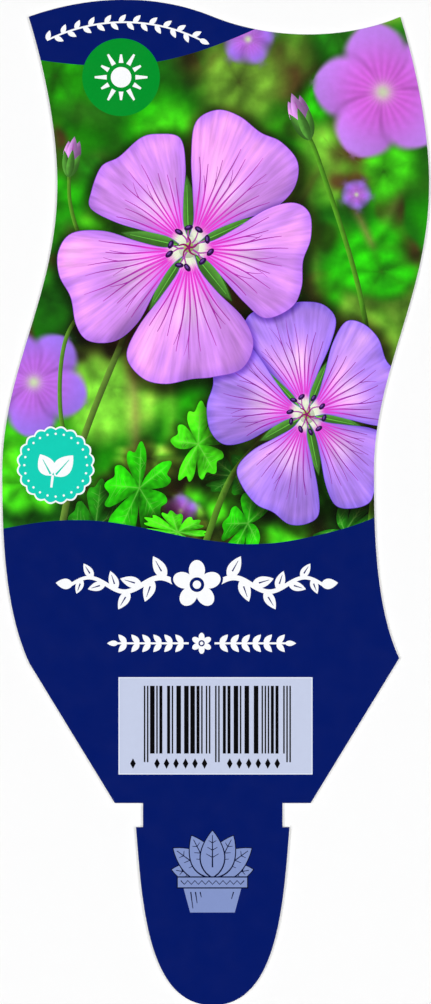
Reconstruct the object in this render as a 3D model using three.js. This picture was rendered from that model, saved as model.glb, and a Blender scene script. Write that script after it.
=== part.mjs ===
// A push-in plant label: one die-cut sheet of stiff plastic with a wavy panel, a notched neck and a
// round-ended stake. It lies on its back, printed face up, on the plane z = 0.
// Millimetres. +X runs across the label, +Y up its length and +Z out of its printed face.

import * as THREE from "three";

// Driving dimensions. Points are [sideways from the stake's centre line, height above its tip].
const SHEET_THICKNESS = 0.5;
const PANEL_WIDTH = 63.4;
const PANEL_BASE_HEIGHT = 34.5;
const PANEL_BASE_HALF_WIDTH = 16.7;
const NECK_HALF_WIDTH = 11.9;
const STAKE_LENGTH = 30.4;
const STAKE_HALF_WIDTH = 13.1;

// The two long edges of the panel are one wave, PANEL_WIDTH apart. It runs down from the top corner,
// bulges to the right and then to the left, and ends at the shoulder, where the panel tapers in.
const TOP_CORNER = [-31.4, 168.6];
const CORNER_HANDLE = [-28.6, 159.6];
const RIGHT_BULGE = { x: -26.5, top: 149.0, middle: 140.0, bottom: 121.2 };
const LEFT_BULGE = { x: -35.9, top: 108.3, middle: 91.1, bottom: 81.2 };
const SHOULDER_HANDLE = [-35.7, 68.0];
const LEFT_SHOULDER = [-31.3, 58.4];
const RIGHT_SHOULDER = [31.8, 59.2];

// The top edge is a hump and then a hollow, which meet halfway across.
const HUMP_HANDLES = [[-21.0, 172.3], [-9.8, 172.6]];
const TOP_MIDDLE = [-0.2, 168.7];
const HOLLOW_HANDLES = [[9.8, 164.6], [22.4, 164.5]];

// Each side of the stake is one curve that falls almost straight and then rounds in to the tip.
const STAKE_SIDE_HANDLE = [12.1, 18.1];
const STAKE_TIP_HANDLE = [11.3, 0];

// Straight pieces that each curved stretch of the outline is divided into.
const CURVE_STEPS = 32;

// Adds a curve from the shape's last point, past two handles, to an end point.
function curveTo(shape, firstHandle, secondHandle, end) {
  shape.bezierCurveTo(...firstHandle, ...secondHandle, ...end);
}

// The right-hand edge of the panel: the wave, from its lower end up to the top corner.
function panelRightSide(shape) {
  const across = ([x, y]) => [x + PANEL_WIDTH, y];
  const left = LEFT_BULGE.x + PANEL_WIDTH;
  const right = RIGHT_BULGE.x + PANEL_WIDTH;
  curveTo(shape, across(SHOULDER_HANDLE), [left, LEFT_BULGE.bottom], [left, LEFT_BULGE.middle]);
  curveTo(shape, [left, LEFT_BULGE.top], [right, RIGHT_BULGE.bottom], [right, RIGHT_BULGE.middle]);
  curveTo(shape, [right, RIGHT_BULGE.top], across(CORNER_HANDLE), across(TOP_CORNER));
}

// The top edge, from the right-hand corner to the left-hand one.
function panelTop(shape) {
  const [hollowLeft, hollowRight] = HOLLOW_HANDLES;
  const [humpLeft, humpRight] = HUMP_HANDLES;
  curveTo(shape, hollowRight, hollowLeft, TOP_MIDDLE);
  curveTo(shape, humpRight, humpLeft, TOP_CORNER);
}

// The left-hand edge: the same wave, from the top corner down.
function panelLeftSide(shape) {
  const left = LEFT_BULGE.x;
  const right = RIGHT_BULGE.x;
  curveTo(shape, CORNER_HANDLE, [right, RIGHT_BULGE.top], [right, RIGHT_BULGE.middle]);
  curveTo(shape, [right, RIGHT_BULGE.bottom], [left, LEFT_BULGE.top], [left, LEFT_BULGE.middle]);
  curveTo(shape, [left, LEFT_BULGE.bottom], SHOULDER_HANDLE, LEFT_SHOULDER);
}

// The whole outline, anticlockwise from the tip of the stake.
function labelOutline() {
  const mirrored = ([x, y]) => [-x, y];
  const stakeShoulder = [STAKE_HALF_WIDTH, STAKE_LENGTH];
  const shape = new THREE.Shape();
  shape.moveTo(0, 0);
  curveTo(shape, STAKE_TIP_HANDLE, STAKE_SIDE_HANDLE, stakeShoulder);
  shape.lineTo(NECK_HALF_WIDTH, STAKE_LENGTH);
  shape.lineTo(NECK_HALF_WIDTH, PANEL_BASE_HEIGHT);
  shape.lineTo(PANEL_BASE_HALF_WIDTH, PANEL_BASE_HEIGHT);
  shape.lineTo(...RIGHT_SHOULDER);
  panelRightSide(shape);
  panelTop(shape);
  panelLeftSide(shape);
  shape.lineTo(-PANEL_BASE_HALF_WIDTH, PANEL_BASE_HEIGHT);
  shape.lineTo(-NECK_HALF_WIDTH, PANEL_BASE_HEIGHT);
  shape.lineTo(-NECK_HALF_WIDTH, STAKE_LENGTH);
  shape.lineTo(...mirrored(stakeShoulder));
  curveTo(shape, mirrored(STAKE_SIDE_HANDLE), mirrored(STAKE_TIP_HANDLE), [0, 0]);
  return shape;
}

// The sheet, moved so that the origin is under the middle of its bounding box.
function labelSheet() {
  const geometry = new THREE.ExtrudeGeometry(labelOutline(), {
    depth: SHEET_THICKNESS,
    curveSegments: CURVE_STEPS,
    bevelEnabled: false,
  });
  geometry.computeBoundingBox();
  const middle = geometry.boundingBox.getCenter(new THREE.Vector3());
  geometry.translate(-middle.x, -middle.y, 0);
  const navyPrint = new THREE.MeshStandardMaterial({ color: 0x001a67, roughness: 0.35, metalness: 0 });
  const sheet = new THREE.Mesh(geometry, navyPrint);
  sheet.name = "label_sheet";
  return sheet;
}

const plantLabel = new THREE.Group();
plantLabel.add(labelSheet());

export default plantLabel;
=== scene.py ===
"""Looks of a push-in plant label: one printed plastic sheet that lies face up on a pale floor.

Places and sizes are millimetres in the label's own frame, and inks are sRGB from 0 to 1, until the mesh is
built. The picture, the badges and the ornaments are generic designs, and they are drawn here.
"""

from collections import namedtuple
from math import cos, pi, radians, sin, tau

import bpy
import numpy as np
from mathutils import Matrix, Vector
from mathutils.geometry import delaunay_2d_cdt


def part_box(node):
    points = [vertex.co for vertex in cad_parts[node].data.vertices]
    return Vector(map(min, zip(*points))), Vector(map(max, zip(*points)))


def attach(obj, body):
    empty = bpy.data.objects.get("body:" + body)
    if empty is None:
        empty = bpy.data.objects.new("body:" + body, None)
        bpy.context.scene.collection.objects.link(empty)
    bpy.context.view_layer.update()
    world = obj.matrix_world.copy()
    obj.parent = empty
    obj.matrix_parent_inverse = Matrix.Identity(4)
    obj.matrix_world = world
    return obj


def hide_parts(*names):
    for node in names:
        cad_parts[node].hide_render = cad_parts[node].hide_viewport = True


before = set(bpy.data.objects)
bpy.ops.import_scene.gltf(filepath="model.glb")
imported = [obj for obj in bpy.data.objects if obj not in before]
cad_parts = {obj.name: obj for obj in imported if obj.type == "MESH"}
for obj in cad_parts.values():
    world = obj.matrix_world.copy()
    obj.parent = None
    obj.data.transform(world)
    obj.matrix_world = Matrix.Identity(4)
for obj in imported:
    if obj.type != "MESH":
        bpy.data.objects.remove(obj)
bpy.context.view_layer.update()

NODE = "label_sheet"
MM = 0.001

NAVY = (0.000, 0.088, 0.400)
WHITE = (0.985, 0.990, 1.000)
PANEL_BLUE = (0.776, 0.808, 0.906)
PANEL_RIM = (0.900, 0.922, 0.984)
BAR_BLACK = (0.010, 0.010, 0.018)
BADGE_GREEN = (0.000, 0.569, 0.165)
BADGE_TEAL = (0.075, 0.815, 0.720)
EMBLEM_BLUE = (0.514, 0.580, 0.784)
EMBLEM_LINE = (0.015, 0.050, 0.200)

# A printed shape: its outline, its ink, the fine grain in it, and how close together its ink is mixed anew.
# ink and grain take an array of places. ink gives a colour for each, and grain gives a point of the grain
# pattern and its strength. With no pitch, the ink is mixed at the outline only.
Shape = namedtuple("Shape", "outline ink grain pitch", defaults=[None])
COARSE_PITCH = 0.40
FINE_PITCH = 0.26


# ---- drawing ----


def unit(angle):
    """The direction at an angle, or at each of many."""
    return np.stack([np.cos(angle), np.sin(angle)], -1)


def around(count, start=0.0):
    """Angles spread evenly round a circle, from start."""
    return start + np.arange(count) * tau / count


def unit_length(vectors):
    return vectors / np.linalg.norm(vectors, axis=-1, keepdims=True)


def left_of(vectors):
    return np.stack([-vectors[..., 1], vectors[..., 0]], -1)


def turned(points, angle):
    return np.asarray(points, float) @ np.array([unit(angle), unit(angle + pi / 2)])


def tilted(share, way):
    """The matrix that squashes a flat shape to a share of its width along one way."""
    return turned(np.eye(2), -way) @ turned(np.diag([share, 1.0]), way)


def ellipse(centre, radii, turn=0.0, steps=48):
    return turned(unit(around(steps)) * radii, turn) + centre


def scalloped(centre, radius, scallops=20, depth=0.42):
    """A disc with a scalloped edge."""
    angle = around(scallops * 8)
    reach = radius - depth * (1 - np.abs(np.sin(scallops * angle / 2)))
    return reach[:, None] * unit(angle) + centre


def box(low, high):
    (left, bottom), (right, top) = low, high
    return np.array([(left, bottom), (right, bottom), (right, top), (left, top)], float)


def spline(knots, steps=8, closed=False):
    """A smooth curve through the knots, with this many steps to each span."""
    knots = np.asarray(knots, float)
    if closed:
        knots = np.vstack([knots[-1:], knots, knots[:2]])
    else:
        knots = np.vstack([2 * knots[0] - knots[1], knots, 2 * knots[-1] - knots[-2]])
    t = np.linspace(0, 1, steps, endpoint=False)[:, None]
    spans = [
        0.5 * (2 * b + (c - a) * t + (2 * a - 5 * b + 4 * c - d) * t**2 + (3 * b - a - 3 * c + d) * t**3)
        for a, b, c, d in zip(knots, knots[1:], knots[2:], knots[3:])
    ]
    return np.vstack(spans if closed else [*spans, knots[-2]])


def sideways(path):
    """The direction to the left of a path, at each of its points."""
    return left_of(unit_length(np.gradient(path, axis=0)))


def ribbon(path, widths):
    """The outline of a band along a path. Its whole width is given at spots spread evenly along it."""
    path, widths = np.asarray(path, float), np.ravel(widths)
    widths = np.interp(np.linspace(0, 1, len(path)), np.linspace(0, 1, len(widths)), widths)
    side = widths[:, None] / 2 * sideways(path)
    return np.vstack([path - side, (path + side)[::-1]])


def blade(root, tip, width, steps=10):
    """A pointed leaf from root to tip, widest a little before its middle."""
    root, tip = np.asarray(root, float), np.asarray(tip, float)
    t = np.linspace(0.01, 0.99, steps)
    half = (width * 0.5 * np.sin(pi * t**0.8) ** 0.85)[:, None] * left_of(unit_length(tip - root))
    middle = root + t[:, None] * (tip - root)
    return np.vstack([root, middle - half, tip, (middle + half)[::-1]])


def anticlockwise(outline):
    x, y = outline.T
    return outline if np.sum(x * np.roll(y, -1) - y * np.roll(x, -1)) > 0 else outline[::-1]


def shrunk(outline, by):
    """The outline moved inwards, with its corners kept sharp."""
    before = unit_length(outline - np.roll(outline, 1, 0))
    after = unit_length(np.roll(outline, -1, 0) - outline)
    return outline + by * left_of(before + after) / (1 + np.sum(before * after, 1, keepdims=True))


def hexagonal_points(low, high, pitch):
    rows = np.arange(low[1], high[1], pitch * sin(pi / 3))
    columns = np.arange(low[0], high[0], pitch)
    x = columns + (np.arange(len(rows)) % 2)[:, None] * pitch / 2
    return np.stack([x.ravel(), np.repeat(rows, len(columns))], 1)


# ---- painting ----

LIGHT_WAY = unit(radians(125))

# A painted shadow: how far it is thrown, the depths inside its caster from which and to which it deepens,
# and the share of red, green and blue that it takes away.
Shadow = namedtuple("Shadow", "throw fade takes")
DEEP_SHADOW = Shadow(0.80, (-2.6, 0.2), (0.54, 0.65, 0.68))
PETAL_SHADOW = Shadow(0.35, (-1.1, 0.3), (0.36, 0.46, 0.22))


def smooth(low, high, value):
    t = np.clip((value - low) / (high - low), 0, 1)
    return t * t * (3 - 2 * t)


def mix(under, over, cover):
    """A colour or an array of colours, partly covered by another."""
    return under + np.subtract(over, under) * np.asarray(cover)[..., None]


def toned(colour, tone):
    """A colour, or an array of colours, made lighter or darker at each place."""
    return np.clip(np.asarray(colour) * tone[:, None], 0, 1)


def waves(places, size, seed, count=9):
    """A smooth random field, mostly between -1 and 1, with patches about size across."""
    draw = np.random.default_rng(seed)
    angle, phase = draw.uniform(0, tau, (2, count))
    pace = tau / size * draw.uniform(0.5, 1.5, count)
    return np.sin(places @ (unit(angle).T * pace) + phase).sum(1) / count**0.5


def to_edges(places, ring):
    """For each place and edge of a ring: the share of the edge that is nearest, and the distance squared."""
    side = np.roll(ring, -1, 0) - ring
    share = np.clip(((places[:, None] - ring) * side).sum(2) / np.maximum((side**2).sum(1), 1e-12), 0, 1)
    return share, ((ring + share[..., None] * side - places[:, None]) ** 2).sum(2)


def inside_depth(places, outline, batch=4096):
    """How deep each place lies inside an outline. It is less than 0 outside."""
    x, y = outline.T
    run, rise = np.roll(outline, -1, 0).T - (x, y)
    depth = np.empty(len(places))
    for first in range(0, len(places), batch):
        here = places[first : first + batch]
        away = np.sqrt(to_edges(here, outline)[1].min(1))
        level = here[:, 1:]
        crosses = (y > level) != (np.roll(y, -1) > level)
        crossing = x + (level - y) / np.where(rise == 0, 1e-12, rise) * run
        within = (crosses & (here[:, :1] < crossing)).sum(1) % 2 == 1
        depth[first : first + batch] = np.where(within, away, -away)
    return depth


def under_shadows(places, colours, casters, shadow):
    """Darkens the colours where the casters' outlines throw a shadow."""
    for outline in casters:
        middle = (outline.min(0) + outline.max(0)) / 2
        reach = np.ptp(outline, axis=0).max() / 2 + shadow.throw - shadow.fade[0]
        near = np.flatnonzero(np.abs(places - middle).max(1) < reach)
        depth = inside_depth(places[near] + shadow.throw * LIGHT_WAY, outline)
        colours[near] *= 1 - np.multiply.outer(smooth(*shadow.fade, depth), shadow.takes)
    return colours


def shaded(ink, casters):
    """An ink with the casters' shadows on it."""
    return lambda places: under_shadows(places, ink(places), casters, DEEP_SHADOW)


def no_grain(places):
    return np.zeros((len(places), 3))


def leaf_grain(places):
    return np.column_stack([places * 0.9, np.full(len(places), 0.5)])


def soft_grain(places):
    return leaf_grain(places) * (1, 1, 0.4)


def solid(outline, colour):
    return Shape(outline, lambda places: np.tile(colour, (len(places), 1)), no_grain)


def stroke(start, end, widths, colour):
    """A straight stroke, with its widths at its two ends."""
    return solid(ribbon([start, end], widths), colour)


def side_lit_ink(path, half_width, colour):
    """Ink for a round stem or a keeled blade along a path, with painted light on the side that faces the
    light, painted shade on the other, and a little darker along its middle.
    """
    side = sideways(path)
    side *= np.sign(side @ LIGHT_WAY)[:, None]

    def ink(places):
        nearest = ((places[:, None] - path) ** 2).sum(2).argmin(1)
        across = ((places - path[nearest]) * side[nearest]).sum(1) / half_width
        tone = 0.86 + 0.30 * np.tanh(1.4 * across) - 0.10 * np.exp(-((across / 0.25) ** 2))
        return toned(colour, tone)

    return ink


# Ink for a dome, with painted light on its side towards the light and painted shade on the other.
def lit_dome_ink(centre, radius, colour):
    return lambda places: toned(colour, 0.86 + 0.14 * ((places - centre) @ LIGHT_WAY / radius))


class Form:
    """A flat form in a frame of its own, which may be turned, tilted and scaled. Its casters shade it."""

    def __init__(self, origin, axes):
        self.origin, self.axes, self.back = np.asarray(origin, float), axes, np.linalg.inv(axes)
        self.casters = []

    def place(self, local):
        return np.asarray(local) @ self.axes + self.origin

    def local(self, places):
        return (places - self.origin) @ self.back

    def polar(self, places):
        along, across = self.local(places).T
        return np.hypot(along, across), np.arctan2(across, along)


# ---- leaves ----

SHADE = (0.105, 0.090, 0.030)
DEEP_GREEN = (0.110, 0.430, 0.060)
LEAF_GREEN = (0.140, 0.660, 0.040)
FRESH_GREEN = (0.250, 0.780, 0.080)
LIME = (0.500, 0.850, 0.220)
RIB_GREEN = (0.560, 0.800, 0.400)
OLIVE = (0.400, 0.600, 0.170)
EARTH = (0.370, 0.250, 0.130)
STRAW = (0.640, 0.580, 0.330)

LEAF_OUTLINE_STEPS = 180
SLIT_START = 0.30
SLIT_SLOPE = 3.4
STALK_GAP_START = 0.05
STALK_GAP_SLOPE = 1.6
SLIT_SOFTNESS = 0.9
TOOTH_SOFTNESS = 9.0
RIB_WIDTH = 0.20
SIDE_RIB_WIDTH = 0.11
# Side ribs as (share of the lobe's rib where it starts, side).
SIDE_RIBS = [(0.38, 1), (0.43, -1), (0.56, 1), (0.61, -1), (0.74, 1), (0.78, -1)]


class Leaf(Form):
    """A round leaf with toothed lobes, tilted away from the view. It is crisp or out of focus."""

    def __init__(self, centre, size, tilt, ink, draw):
        turn, lean = draw.uniform(0, tau, 2)
        super().__init__(centre, size * turned(np.eye(2), turn) @ tilted(tilt, lean))
        self.size, self.colour = size, np.asarray(ink)
        self.lobes, self.teeth = int(draw.choice((5, 7))), draw.uniform(0.05, 0.10)
        self.seed = int(draw.integers(1 << 30))
        angles = around(LEAF_OUTLINE_STEPS, -pi)
        self.outline = self.place(self.reach(angles)[:, None] * unit(angles))

    def limits(self, angle, soft=0.0):
        """The reach of the toothed edge, the slits and the gap at the stalk, and the place across a lobe.

        The place goes from 0 on a lobe's rib to 1 in the slit beside it. soft is the blur on the same scale,
        which rounds the slits and wears the teeth away.
        """
        lobe = angle / tau * self.lobes
        across = 2 * np.abs(lobe - np.round(lobe))
        near_slit = np.hypot(1 - across, soft)
        teeth = self.teeth * np.exp(-((TOOTH_SOFTNESS * soft) ** 2)) * np.cos(3 * pi * across)
        bow = 1 - 0.20 * np.maximum(1 - near_slit, 0) ** 2
        edge = (0.80 + 0.20 * np.cos(angle / 2)) * bow * (1 + teeth)
        slit = SLIT_START + SLIT_SLOPE * near_slit
        stalk = STALK_GAP_START + STALK_GAP_SLOPE * np.hypot(pi - np.abs(angle), soft)
        return edge, slit, stalk, across

    def reach(self, angle):
        """How far from the stalk the leaf goes at an angle."""
        return np.minimum.reduce(self.limits((angle + pi) % tau - pi)[:3])

    def depth(self, places, blur):
        """How far inside the leaf each place is. Blur closes the slits, most of all near the stalk."""
        reach, angle = self.polar(places)
        soft = SLIT_SOFTNESS * blur / self.size / np.maximum(reach, 0.1)
        edge, slit, stalk, _ = self.limits(angle, soft)
        beside_slit = (slit - reach) * reach * pi / self.lobes / SLIT_SLOPE
        beside_stalk = (stalk - reach) * reach / STALK_GAP_SLOPE
        return np.minimum(edge - reach, np.minimum(beside_slit, beside_stalk))

    def cover(self, places, blur):
        return smooth(-blur / self.size, blur / self.size, self.depth(places, blur))

    def paint(self, places, blur=0.0):
        """The leaf's colour, with a paler rib and random tone, under painted light and shade: puckered sides,
        each lobe lit a little differently and folded along its rib into a lit half and a shaded half, the
        leaf lighter towards the light, and painted shade towards the slits and near the stalk.
        """
        reach, angle = self.polar(places)
        across = self.limits(angle)[3]
        lobe = np.round(angle / tau * self.lobes)
        lobe_angle = lobe * tau / self.lobes
        crisp = 0.14 / (0.14 + 0.25 * blur)
        rib = np.exp(-((across * reach * self.size / (0.60 + 0.6 * blur)) ** 2)) * smooth(1.0, 0.5, reach)
        # Painted light on the puckers of each lobe's sides.
        pucker_shading = (0.5 + 0.5 * np.cos(tau * (reach * 4.5 - 1.3 * across))) * smooth(0.1, 0.5, across)
        # Painted light and shade: the half of each lobe that faces the light is lighter, the other half
        # darker.
        lit_side = left_of(unit(lobe_angle)) @ self.axes @ LIGHT_WAY / self.size
        apart = smooth(0.0, 0.05 + 0.4 * blur, 1 - across)
        fold_shading = np.tanh((angle / tau * self.lobes - lobe) * 9 / (1 + blur)) * lit_side
        fold_shading = fold_shading * smooth(0.0, 0.3, reach)
        # Painted light: the leaf is lighter on its side towards the light and darker on the other.
        slope_shading = (places - self.origin) @ LIGHT_WAY / self.size
        # Painted shade darkens each lobe towards the slits beside it. The rib is paler, as the leaf's own
        # colour.
        tone = 1 + crisp * (0.22 * rib + 0.12 * pucker_shading) - 0.20 * crisp**0.6 * smooth(0.55, 1.0, across)
        # Painted light that differs from lobe to lobe, as if each lobe were tilted its own way.
        tone = tone + apart * ((0.08 + 0.12 * crisp) * fold_shading + 0.10 * np.sin(lobe * 2.4 + self.seed))
        # Painted shade darkens the leaf near its stalk.
        tone = tone * (0.78 + 0.38 * smooth(0.0, 0.7, reach)) + 0.12 * slope_shading
        tone = tone + 0.10 * waves(places, 4.0, self.seed)
        tone = tone + 0.05 * crisp * waves(places, 1.3, self.seed + 1)
        return np.clip(self.colour * tone[:, None] + 0.04 * crisp * rib[:, None], 0, 1)

    def rib_paint(self, places):
        return mix(self.paint(places), RIB_GREEN, 0.45)

    def rib(self, knots, width):
        outline = ribbon(spline(self.place(knots), 4), (width, 0.4 * width))
        return Shape(outline, shaded(self.rib_paint, self.casters), leaf_grain)

    def shapes(self):
        """The crisp leaf, with a rib and side ribs on each lobe."""
        yield Shape(self.outline, shaded(self.paint, self.casters), leaf_grain, FINE_PITCH)
        for angle in around(self.lobes):
            reach = 0.86 * self.reach(angle)
            yield self.rib([(0, 0), 0.5 * reach * unit(angle), reach * unit(angle)], RIB_WIDTH)
            for share, side in SIDE_RIBS:
                aside = angle + side * 0.62 * pi / self.lobes * share**0.4
                end = min((share + 0.20) * reach, 0.90 * self.reach(aside))
                yield self.rib([share * reach * unit(angle), end * unit(aside)], SIDE_RIB_WIDTH)


# ---- ground: leaves, stems and blooms that are out of focus ----

GROUND_SEED = 41
GROUND_LOW = (-36, -8)
GROUND_HIGH = (35, 85)
GROUND_LEAVES = 88
GROUND_LEAF_SIZES = (5.0, 8.0)
GROUND_LEAF_TILTS = (0.45, 0.95)
FAR_LEAVES_LARGER_BY = 3.0
GROUND_INKS = [LEAF_GREEN, LEAF_GREEN, FRESH_GREEN, OLIVE, LIME, DEEP_GREEN]
GROUND_INK_STRENGTHS = (0.88, 1.18)
# The blur of the nearest leaves, how much more the farthest have, and what a millimetre above a level adds.
NEAR_BLUR = 0.75
FAR_BLUR = 2.4
HIGH_BLUR = 0.042
HIGH_FROM = 8
NEAREST_GAP = 0.04
GAP_RADII = (3.0, 7.5)
GAP_INKS = [SHADE, EARTH, EARTH]
SOFT_STEM_FEET = ((-30, -8), (30, 40))
SOFT_STEM_HEIGHTS = (12, 26)
SOFT_STEM_LEAN = 16
SOFT_STEM_WIDTHS = (0.6, 1.2)
SOFT_STEM_INKS = [STRAW, LIME, EARTH]
PALE_HEART = (0.86, 0.90, 0.76)
PINK_TONES = ((0.860, 0.400, 0.900), (0.790, 0.540, 0.980))
VIOLET_TONES = ((0.780, 0.440, 0.940), (0.640, 0.480, 0.980))
# Far blooms as (centre, size, turn, (inner, outer) tones, blur).
FAR_BLOOMS = [
    ((28.5, 70.0), 12.0, 0.5, PINK_TONES, 1.0),
    ((-31.0, 20.5), 9.5, 0.9, VIOLET_TONES, 0.9),
    ((5.5, 79.0), 4.6, 0.2, VIOLET_TONES, 1.2),
    ((24.0, 52.5), 2.6, 1.1, VIOLET_TONES, 1.1),
    ((-6.0, -1.5), 3.0, 0.3, VIOLET_TONES, 1.0),
]


def paint_leaf(colours, places, leaf, blur):
    """Paints a leaf, with the shadow that it throws on what is below it."""
    near = np.flatnonzero(((places - leaf.origin) ** 2).sum(1) < (leaf.size * 1.2 + 4 * blur + 1.5) ** 2)
    shadow = leaf.cover(places[near] + DEEP_SHADOW.throw * LIGHT_WAY, 1.2 + 1.5 * blur)
    dimmed = colours[near] * (1 - 0.54 * shadow[:, None])
    colours[near] = mix(dimmed, leaf.paint(places[near], blur), leaf.cover(places[near], blur))


def paint_stem(colours, places, knots, width, ink, blur):
    path = spline(knots, 6)
    nearest = np.full(len(places), np.inf)
    lit = np.zeros(len(places))
    for start, end in zip(path, path[1:]):
        axis = end - start
        share = np.clip((places - start) @ axis / (axis @ axis), 0, 1)
        away = places - start - share[:, None] * axis
        distance = np.hypot(*away.T)
        lit = np.where(distance < nearest, away @ LIGHT_WAY, lit)
        nearest = np.minimum(nearest, distance)
    # Painted light on the stem's side towards the light, painted shade on the other.
    tone = 0.92 + 0.45 * np.clip(lit / width, -1, 1)
    cover = smooth(width / 2 + blur, width / 2 - blur, nearest)
    colours[:] = mix(colours, np.asarray(ink) * tone[:, None], cover)


def paint_far_bloom(colours, places, centre, size, turn, tones, blur):
    """A bloom that is out of focus: five round petals about a pale heart."""
    inner, outer = tones
    for way in around(5, turn):
        along, across = (turned(places - np.array(centre), -way) / size).T
        half = 0.43 * np.sin(pi * np.clip(along, 0, 1) ** 1.35) ** 0.6
        inside = np.minimum(half - np.abs(across), 1 - along)
        cover = smooth(-blur / size, blur / size, inside) * smooth(-0.02, 0.1, along)
        reach = np.hypot(along, across)
        tone = mix(inner, outer, smooth(0.25, 1.0, reach))
        lit = 0.95 + 0.12 * np.clip(across * (unit(way + pi / 2) @ LIGHT_WAY) * 2, -1, 1)
        veins = 0.04 * np.cos(np.arctan2(across, along) * 24) * smooth(0.8, 0.3, reach)
        shadow = smooth(-0.05 - blur / size, 0.05, inside) * smooth(0, 0.2, along)
        colours *= (1 - 0.25 * shadow * (1 - cover))[:, None]
        colours[:] = mix(colours, toned(tone, lit + veins), cover)
    heart = np.exp(-((places - np.array(centre)) ** 2).sum(1) / (0.13 * size) ** 2)
    colours[:] = mix(colours, PALE_HEART, 0.9 * heart)


def ground_patches(places):
    """The far ground: broad patches of green, with earth and shade between them."""
    broad, fine = waves(places, 24, 3), waves(places, 9, 4)
    colours = mix(DEEP_GREEN, LEAF_GREEN, smooth(-1.2, 0.8, broad + 0.6 * fine))
    colours = mix(colours, FRESH_GREEN, smooth(0.2, 1.4, waves(places, 13, 9) + 0.3 * broad))
    colours = mix(colours, EARTH, 0.9 * smooth(0.4, 1.2, waves(places, 12, 5) - 0.5 * broad))
    return mix(colours, SHADE, 0.65 * smooth(0.5, 1.6, waves(places, 10, 6) + 0.4 * fine))


def paint_gap(colours, places, ink, seed, draw):
    """Shows the shade or the earth through a soft gap in the leaves."""
    heart = draw.uniform(GROUND_LOW, GROUND_HIGH)
    spread = (((places - heart) / draw.uniform(*GAP_RADII, 2)) ** 2).sum(1)
    gap = smooth(0.0, 1.1, np.exp(0.5 * waves(places, 6.0, seed) - spread))
    colours[:] = mix(colours, ink, 0.95 * gap)


def paint_soft_stem(colours, places, ink, blur, draw):
    foot = draw.uniform(*SOFT_STEM_FEET)
    lean = draw.uniform(-SOFT_STEM_LEAN, SOFT_STEM_LEAN)
    middle, top = SOFT_STEM_HEIGHTS
    knots = [foot, foot + (0.4 * lean, middle), foot + (lean, top)]
    paint_stem(colours, places, knots, draw.uniform(*SOFT_STEM_WIDTHS), ink, 0.15 + 0.5 * blur)


def paint_ground(places):
    """The ground: soft leaves from far to near, with gaps and stems among them, and blooms in front."""
    draw = np.random.default_rng(GROUND_SEED)
    colours = ground_patches(places)
    for step in range(GROUND_LEAVES):
        far = 1 - step / (GROUND_LEAVES - 1)
        centre = draw.uniform(GROUND_LOW, GROUND_HIGH)
        blur = NEAR_BLUR + FAR_BLUR * far**1.1 + HIGH_BLUR * max(centre[1] - HIGH_FROM, 0)
        colour = GROUND_INKS[draw.integers(0, len(GROUND_INKS))]
        ink = np.asarray(colour) * draw.uniform(*GROUND_INK_STRENGTHS)
        size = draw.uniform(*GROUND_LEAF_SIZES) + FAR_LEAVES_LARGER_BY * far
        leaf = Leaf(centre, size, draw.uniform(*GROUND_LEAF_TILTS), ink, draw)
        paint_leaf(colours, places, leaf, blur)
        if step % 4 == 0 and far > NEAREST_GAP:
            paint_gap(colours, places, GAP_INKS[step // 4 % 3], step, draw)
        if step % 6 == 3:
            paint_soft_stem(colours, places, SOFT_STEM_INKS[step // 6 % 3], blur, draw)
    for bloom in FAR_BLOOMS:
        paint_far_bloom(colours, places, *bloom)
    return np.clip(colours, 0, 1)


# ---- blooms: crisp petals with veins, sepals behind them and stamens in front ----

# Half of a petal's outline, as (along, across) shares of its length. The other half mirrors it.
PETAL_SIDE = [
    (0.00, 0.035), (0.14, 0.085), (0.32, 0.215), (0.54, 0.385), (0.76, 0.470), (0.92, 0.375), (0.99, 0.19),
]
PETAL_NOTCH = (0.955, 0.0)
PETAL_EDGE = 0.08
VEINS_EACH_SIDE = 4
VEIN_SPREAD = radians(6.6)
# A vein's width, as a share of the petal's length, at its root, at 0.3 of its length and at its tip.
VEIN_WIDTHS = (0.017, 0.0155, 0.005)
PINK_BLOOM = dict(
    inner=(0.925, 0.640, 0.985), outer=(0.870, 0.580, 0.985), rim=(0.740, 0.480, 0.960),
    flush=(1.000, 0.260, 0.900), vein=(0.700, 0.120, 0.700),
)
LILAC_BLOOM = dict(
    inner=(0.880, 0.600, 0.980), outer=(0.720, 0.540, 0.985), rim=(0.580, 0.450, 0.960),
    flush=(0.960, 0.280, 0.900), vein=(0.560, 0.110, 0.640),
)
# The colour of the painted highlight along a petal's middle.
PETAL_SHEEN = (0.995, 0.890, 1.000)
THROAT = (0.925, 0.965, 0.850)
HEART = (0.720, 0.820, 0.450)
SEPAL = (0.330, 0.600, 0.220)
ANTHER = (0.170, 0.050, 0.270)
# The colour of the painted highlight on each anther.
ANTHER_GLINT = (0.420, 0.250, 0.600)
FILAMENT = (0.700, 0.300, 0.680)
STIGMA = (0.560, 0.080, 0.400)
# Sizes of a bloom's inner parts, as shares of the bloom's size.
THROAT_RADIUS = 0.085
HEART_RADIUS = 0.040
STAMEN_REACH = (0.15, 0.19)
FILAMENT_WIDTHS = (0.016, 0.010)
ANTHER_RADII = (0.036, 0.021)
GLINT_RADII = (0.018, 0.008)


def vein_angle(number, reach):
    """The angle of a petal's vein at some reach from the root: the veins spread as they go."""
    return VEIN_SPREAD * number * (0.90 + 0.35 * reach)


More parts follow.
